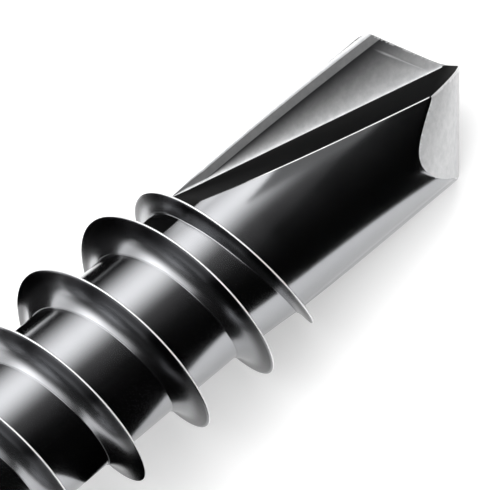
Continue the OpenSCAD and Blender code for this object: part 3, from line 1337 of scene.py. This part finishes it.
    def painted_shade_and_tone(self, half: np.ndarray, top: np.ndarray) -> np.ndarray:
        """Painted shade and tone of the sides of one half.

        The rims are grey, with a painted dark line at their inner edge. The pocket has painted
        shade beside its rim and rises to a painted highlight at the flute's root, and has a thin
        painted highlight behind the lip's rim. The heel's pale edge, a painted highlight, fades to
        dark towards the thread. All else is 1.

        Args:
            half: grid of the sides.
            top: height of each column's end.

        Returns:
            Painted shade and tone of each point, of shape (rows, columns).
        """
        spans = {leg: span for leg, (span, _) in self.layout().items()}
        rim, pocket, heel = spans[Leg.RIM], spans[Leg.POCKET], spans[Leg.HEEL]
        column = np.ones(len(top))
        # painted shade beside the rim, rising to a painted highlight at the flute's root
        column[pocket] = np.linspace(0, 1, pocket.stop - pocket.start) ** self.pocket_fade
        # grey rims, with a painted dark line where they meet the pocket
        column[rim] = self.rim_tone
        column[rim.stop - 1] = 0
        # painted highlight: a thin bright line behind the lip's rim
        depth = top[None, :] - half[..., 2]
        line = np.clip(1 - np.abs(depth - self.lip_highlight_z) / self.lip_highlight_w, 0, 1)
        line[:, :pocket.start] = 0
        painted_shade_and_tone = np.maximum(column, line * ease(column, 0, self.lip_highlight_fade))
        # the heel's pale edge, a painted highlight, fades to dark towards the thread
        painted_shade_and_tone[:, heel] = ease(half[:, heel, 2], *self.heel_fade)
        return painted_shade_and_tone

    def build(self, materials: list[bpy.types.Material]) -> bpy.types.Object:
        """Make the point as one closed mesh.

        Args:
            materials: its materials, by finish index.

        Returns:
            The object.
        """
        top = self.find_top()
        columns = len(top)
        half = self.sides(top)
        whole = np.concatenate([half, half * self.twin], axis=1)
        painted_shade_and_tone = self.painted_shade_and_tone(half, top)
        spans = {leg: span for leg, (span, _) in self.layout().items()}
        parts = MeshParts()
        parts.add_grid(np.concatenate([whole, whole[:, :1]], axis=1), Finish.PLATED,
                       np.concatenate([painted_shade_and_tone, painted_shade_and_tone, painted_shade_and_tone[:, :1]], axis=1))
        for leg, finish in self.leg_finish.items():
            parts.paint(spans[leg].start, spans[leg].stop, 2 * columns, columns, finish)
        bottom = np.concatenate([whole[-1:], whole[-1:] * [0, 0, 1]])
        parts.add_grid(np.concatenate([bottom, bottom[:, :1]], axis=1))
        corner = np.concatenate([self.outline(top[None, :]), top[None, :, None]], axis=-1)[0]
        corner = np.concatenate([corner, corner * self.twin])
        root, heel = self.key_columns()
        span = slice(root, root + columns + 1)
        crown = self.crown(whole[0, span], corner[span])
        for turn in (1, self.twin):
            parts.add_grid(crown.edge * turn)
            # the edge over the back wall is black, as painted shade
            parts.paint(0, heel - root, columns, columns, Finish.SCALED)
            parts.paint(spans[Leg.CORNER].start - root, columns, columns, columns, Finish.SATIN_AND_HIGHLIGHT)
        # the facet is black, as painted shade
        for grid, finish, shade in ((crown.ridge, Finish.SATIN_AND_HIGHLIGHT, 1.0),
                                    (crown.facet, Finish.SCALED, 1.0),
                                    (crown.face, Finish.SATIN_AND_HIGHLIGHT, self.face_tone)):
            for turn in (1, self.twin):
                parts.add_grid(grid * turn, finish, shade)
        return parts.build("screw_drill_point", materials, sharp=40)


@dataclass(frozen=True)
class Softbox:
    """A strip of soft light far away, placed round the screw's axis.

    It has a brightness, the angle of its middle, how far it reaches to the left and the right of
    it, and the part of the direction along the axis between which it shines. It fades from its
    middle to its sides, and over feather at its two ends.
    """

    level: float
    middle: float
    left: float
    right: float
    low: float
    high: float
    feather: float = 0.25


@dataclass(frozen=True)
class Flag:
    """A matt card, black unless a colour is given.

    It has a name, the picture pixels where it starts and ends, and the heights of its top and its
    foot in millimetres.
    """

    name: str
    start: tuple[float, float]
    end: tuple[float, float]
    height: float
    foot: float = 0.0
    colour: str = "#050505"


@dataclass
class Studio:
    """Camera, floor, soft light and cards round the screw."""

    # Camera: a very long lens, because the photo shows next to no perspective.
    axis_tilt: float = 19.84
    picture_turn: float = 39.84
    px_mm: float = 0.0208696
    lens: float = 1400.0
    sensor: float = 36.0
    clip: tuple[float, float] = (0.01, 3.0)
    aim_z: float = 18.775
    aim_side: float = 0.013
    # Floor, and the pale room beyond it, from the horizon down.
    floor_half: float = 300.0
    floor_paint: MattPaint = MattPaint("painted_studio_floor", "#E4E4E4", roughness=0.9,
                                       specular=0.1, glow=0.42)
    horizon_h: float = 0.06
    horizon_fade: float = 0.03
    horizon_level: float = 0.8
    softboxes: tuple[Softbox, ...] = (
        Softbox(2.15, -54, 54, 45, -0.95, 0.95),        # main light: the body's long highlight
        Softbox(0.2, -40, 60, 62, -0.95, 0.95),         # its faint spill
        Softbox(3.0, -20, 95, 80, -0.98, -0.25),        # from the head's end, on the flanks
        Softbox(1.6, -118, 30, 35, -0.9, 0.12),         # low at one side
        Softbox(2.6, 0, 40, 35, -0.3, 0.15, feather=0.1),   # short one in front, on the flanks
    )
    flags: tuple[Flag, ...] = (
        Flag("flag_left", (-8, -200), (-8, 318), 4.2),
        Flag("flag_right", (498, 215), (498, 900), 9.0),
        Flag("flag_tip", (498, -100), (498, 215), 9.0, foot=1.3),
        Flag("flag_low", (100, 498), (900, 498), 9.0),
        Flag("card_top", (262, -8), (600, -8), 8.6, colour="#8C8C8C"),
    )

    def camera_axes(self) -> tuple[np.ndarray, np.ndarray, np.ndarray]:
        """Work out how the camera stands.

        It leans from the screw's own X towards the head by axis_tilt, and is rolled so that the
        screw's axis rises to the right by picture_turn.

        Returns:
            Its right, up and backward directions in the world.
        """
        near, side, along = POSE.axes()
        lean, turn = self.axis_tilt, self.picture_turn
        axis_seen = cosd(lean) * along + sind(lean) * near
        back = -sind(lean) * along + cosd(lean) * near
        right = cosd(turn) * axis_seen + sind(turn) * side
        up = sind(turn) * axis_seen - cosd(turn) * side
        return right, up, back

    def aim(self) -> np.ndarray:
        """World point in metres that is in the middle of the picture."""
        return POSE.place(np.array([0.0, self.aim_side, self.aim_z]))

    def add_camera(self) -> None:
        """Place the camera so that one photo pixel covers px_mm at the screw's axis."""
        right, up, back = self.camera_axes()
        data = bpy.data.cameras.new("photo_camera")
        data.lens, data.sensor_width, data.sensor_fit = self.lens, self.sensor, "HORIZONTAL"
        data.clip_start, data.clip_end = self.clip
        distance = PHOTO_PX * self.px_mm * self.lens / self.sensor
        matrix = Matrix(np.array([right, up, back]).T.tolist()).to_4x4()
        matrix.translation = Vector(self.aim() + back * distance * MM)
        camera = bpy.data.objects.new("photo_camera", data)
        camera.matrix_world = matrix
        bpy.context.scene.collection.objects.link(camera)
        bpy.context.scene.camera = camera

    def add_panel(self, name: str, corners: list[tuple[float, ...]],
                  paint: MattPaint) -> bpy.types.Object:
        """Add a flat panel of the studio, which is no part of the screw.

        Args:
            name: name of the object.
            corners: its four corners in metres, in order round its edge.
            paint: its finish.

        Returns:
            The panel.
        """
        mesh = bpy.data.meshes.new(name)
        mesh.from_pydata(corners, [], [(0, 1, 2, 3)])
        mesh.materials.append(paint.material())
        panel = bpy.data.objects.new(name, mesh)
        bpy.context.scene.collection.objects.link(panel)
        return panel

    def add_floor(self) -> None:
        """Lay a plain pale floor that keeps the screw's shadow.

        A faint glow of its own lifts it to white in the picture. The glow reaches the screw from
        below too, as light from a pale floor does.
        """
        r = self.floor_half * MM
        self.add_panel("studio_floor", [(-r, -r, 0), (r, -r, 0), (r, r, 0), (-r, r, 0)],
                       self.floor_paint)

    def add_room(self) -> None:
        """Fill the room with the softboxes and a pale horizon.

        With az the angle round the screw's axis and b the part of the direction along it, each
        softbox is level * S(az from az0 - left to az0) * S(az from az0 + right to az0)
        * S(b from low) * S(b to high), where S is the smooth step from 0 to 1. The horizon is
        level * S(height from horizon_h down).
        """
        world = bpy.data.worlds.new("studio_room")
        bpy.context.scene.world = world
        world.use_nodes = True
        tree = world.node_tree
        tree.nodes.clear()
        way = add_node(tree, "ShaderNodeTexCoord").outputs["Generated"]
        near, side, along, height = [
            add_node(tree, "ShaderNodeVectorMath", {"operation": "DOT_PRODUCT"},
                     {1: tuple(axis)}, {0: way}).outputs["Value"]
            for axis in (*POSE.axes(), (0.0, 0.0, 1.0))]
        az = add_node(tree, "ShaderNodeMath", {"operation": "ARCTAN2"}, None,
                      {0: side, 1: near}).outputs[0]
        glows = []
        for box in self.softboxes:
            left, middle, right = (math.radians(a) for a in (
                box.middle - box.left, box.middle, box.middle + box.right))
            glows.append([(az, left, middle, box.level), (az, right, middle, 1.0),
                          (along, box.low, box.low + box.feather, 1.0),
                          (along, box.high, box.high - box.feather, 1.0)])
        glows.append([(height, self.horizon_h, self.horizon_h - self.horizon_fade,
                       self.horizon_level)])
        total = None
        for glow in glows:
            product = None
            for value, low, high, top in glow:
                step = add_node(tree, "ShaderNodeMapRange", {"interpolation_type": "SMOOTHSTEP"},
                                {"From Min": low, "From Max": high, "To Max": top},
                                {"Value": value}).outputs["Result"]
                product = step if product is None else add_node(
                    tree, "ShaderNodeMath", {"operation": "MULTIPLY"}, None,
                    {0: product, 1: step}).outputs[0]
            total = product if total is None else add_node(
                tree, "ShaderNodeMath", {"operation": "ADD"}, None,
                {0: total, 1: product}).outputs[0]
        shader = add_node(tree, "ShaderNodeBackground", None, {"Color": srgb("#FFFFFF")},
                          {"Strength": total})
        add_node(tree, "ShaderNodeOutputWorld", None, None,
                 {"Surface": shader.outputs["Background"]})

    def add_flags(self) -> None:
        """Stand four black cards and a grey one just outside the picture's edges.

        They give polished metal something dark to mirror, as in a product shot. Each stands in the
        plane that the camera sees edge-on, above its foot's height. They show in reflections only,
        so they block no view and shade nothing.
        """
        right, up, back = self.camera_axes()
        middle = self.aim() / MM
        for flag in self.flags:
            corners = []
            for x, y in (flag.start, flag.end):
                across, rise = x - PHOTO_PX / 2, PHOTO_PX / 2 - y
                edge = middle + (right * across + up * rise) * self.px_mm
                corners += [edge + back * (height - edge[2]) / back[2]
                            for height in (flag.foot, flag.height)]
            card = self.add_panel(flag.name, [tuple(corners[i] * MM) for i in (0, 2, 3, 1)],
                                  MattPaint(f"matt_card_of_{flag.name}", flag.colour))
            card.visible_camera = False
            card.visible_diffuse = False
            card.visible_shadow = False

    def build(self) -> None:
        """Set up the view, the floor and the light."""
        bpy.context.scene.view_settings.view_transform = "Standard"
        self.add_camera()
        self.add_floor()
        self.add_room()
        self.add_flags()


def finish_piece(piece: bpy.types.Object) -> None:
    """Tie a piece to the CAD part that it stands for, and report it.

    Args:
        piece: the finished object.
    """
    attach(piece, "root")
    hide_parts("screw")
    log.info("%s: %d faces", piece.name, len(piece.data.polygons))


def main() -> None:
    """Build the screw, then the studio."""
    logging.basicConfig(level=logging.INFO, format="%(name)s: %(message)s")
    plated = PlatedSteel().material()
    # pale satin, also painted highlights on the thread's crest, the flute's root and the heel's
    # edge
    pinched = PinchedSteel().material()
    # near black: painted shade on the flute's back wall and facet
    painted_shade_black = PaintedShadeBlack().material()
    # the ridge's plating, painted darker beside the crest as painted shade
    rolled = PlatedSteel("rolled_thread_plated_steel_with_painted_shade", roughness=0.24).material()
    body = Body()
    pieces = [HexHead().build(plated), *Thread(body).build(plated, rolled, pinched),
              DrillPoint(body).build([plated, pinched, painted_shade_black])]
    for piece in pieces:
        finish_piece(piece)
    Studio().build()


if __name__ == "__main__":
    main()
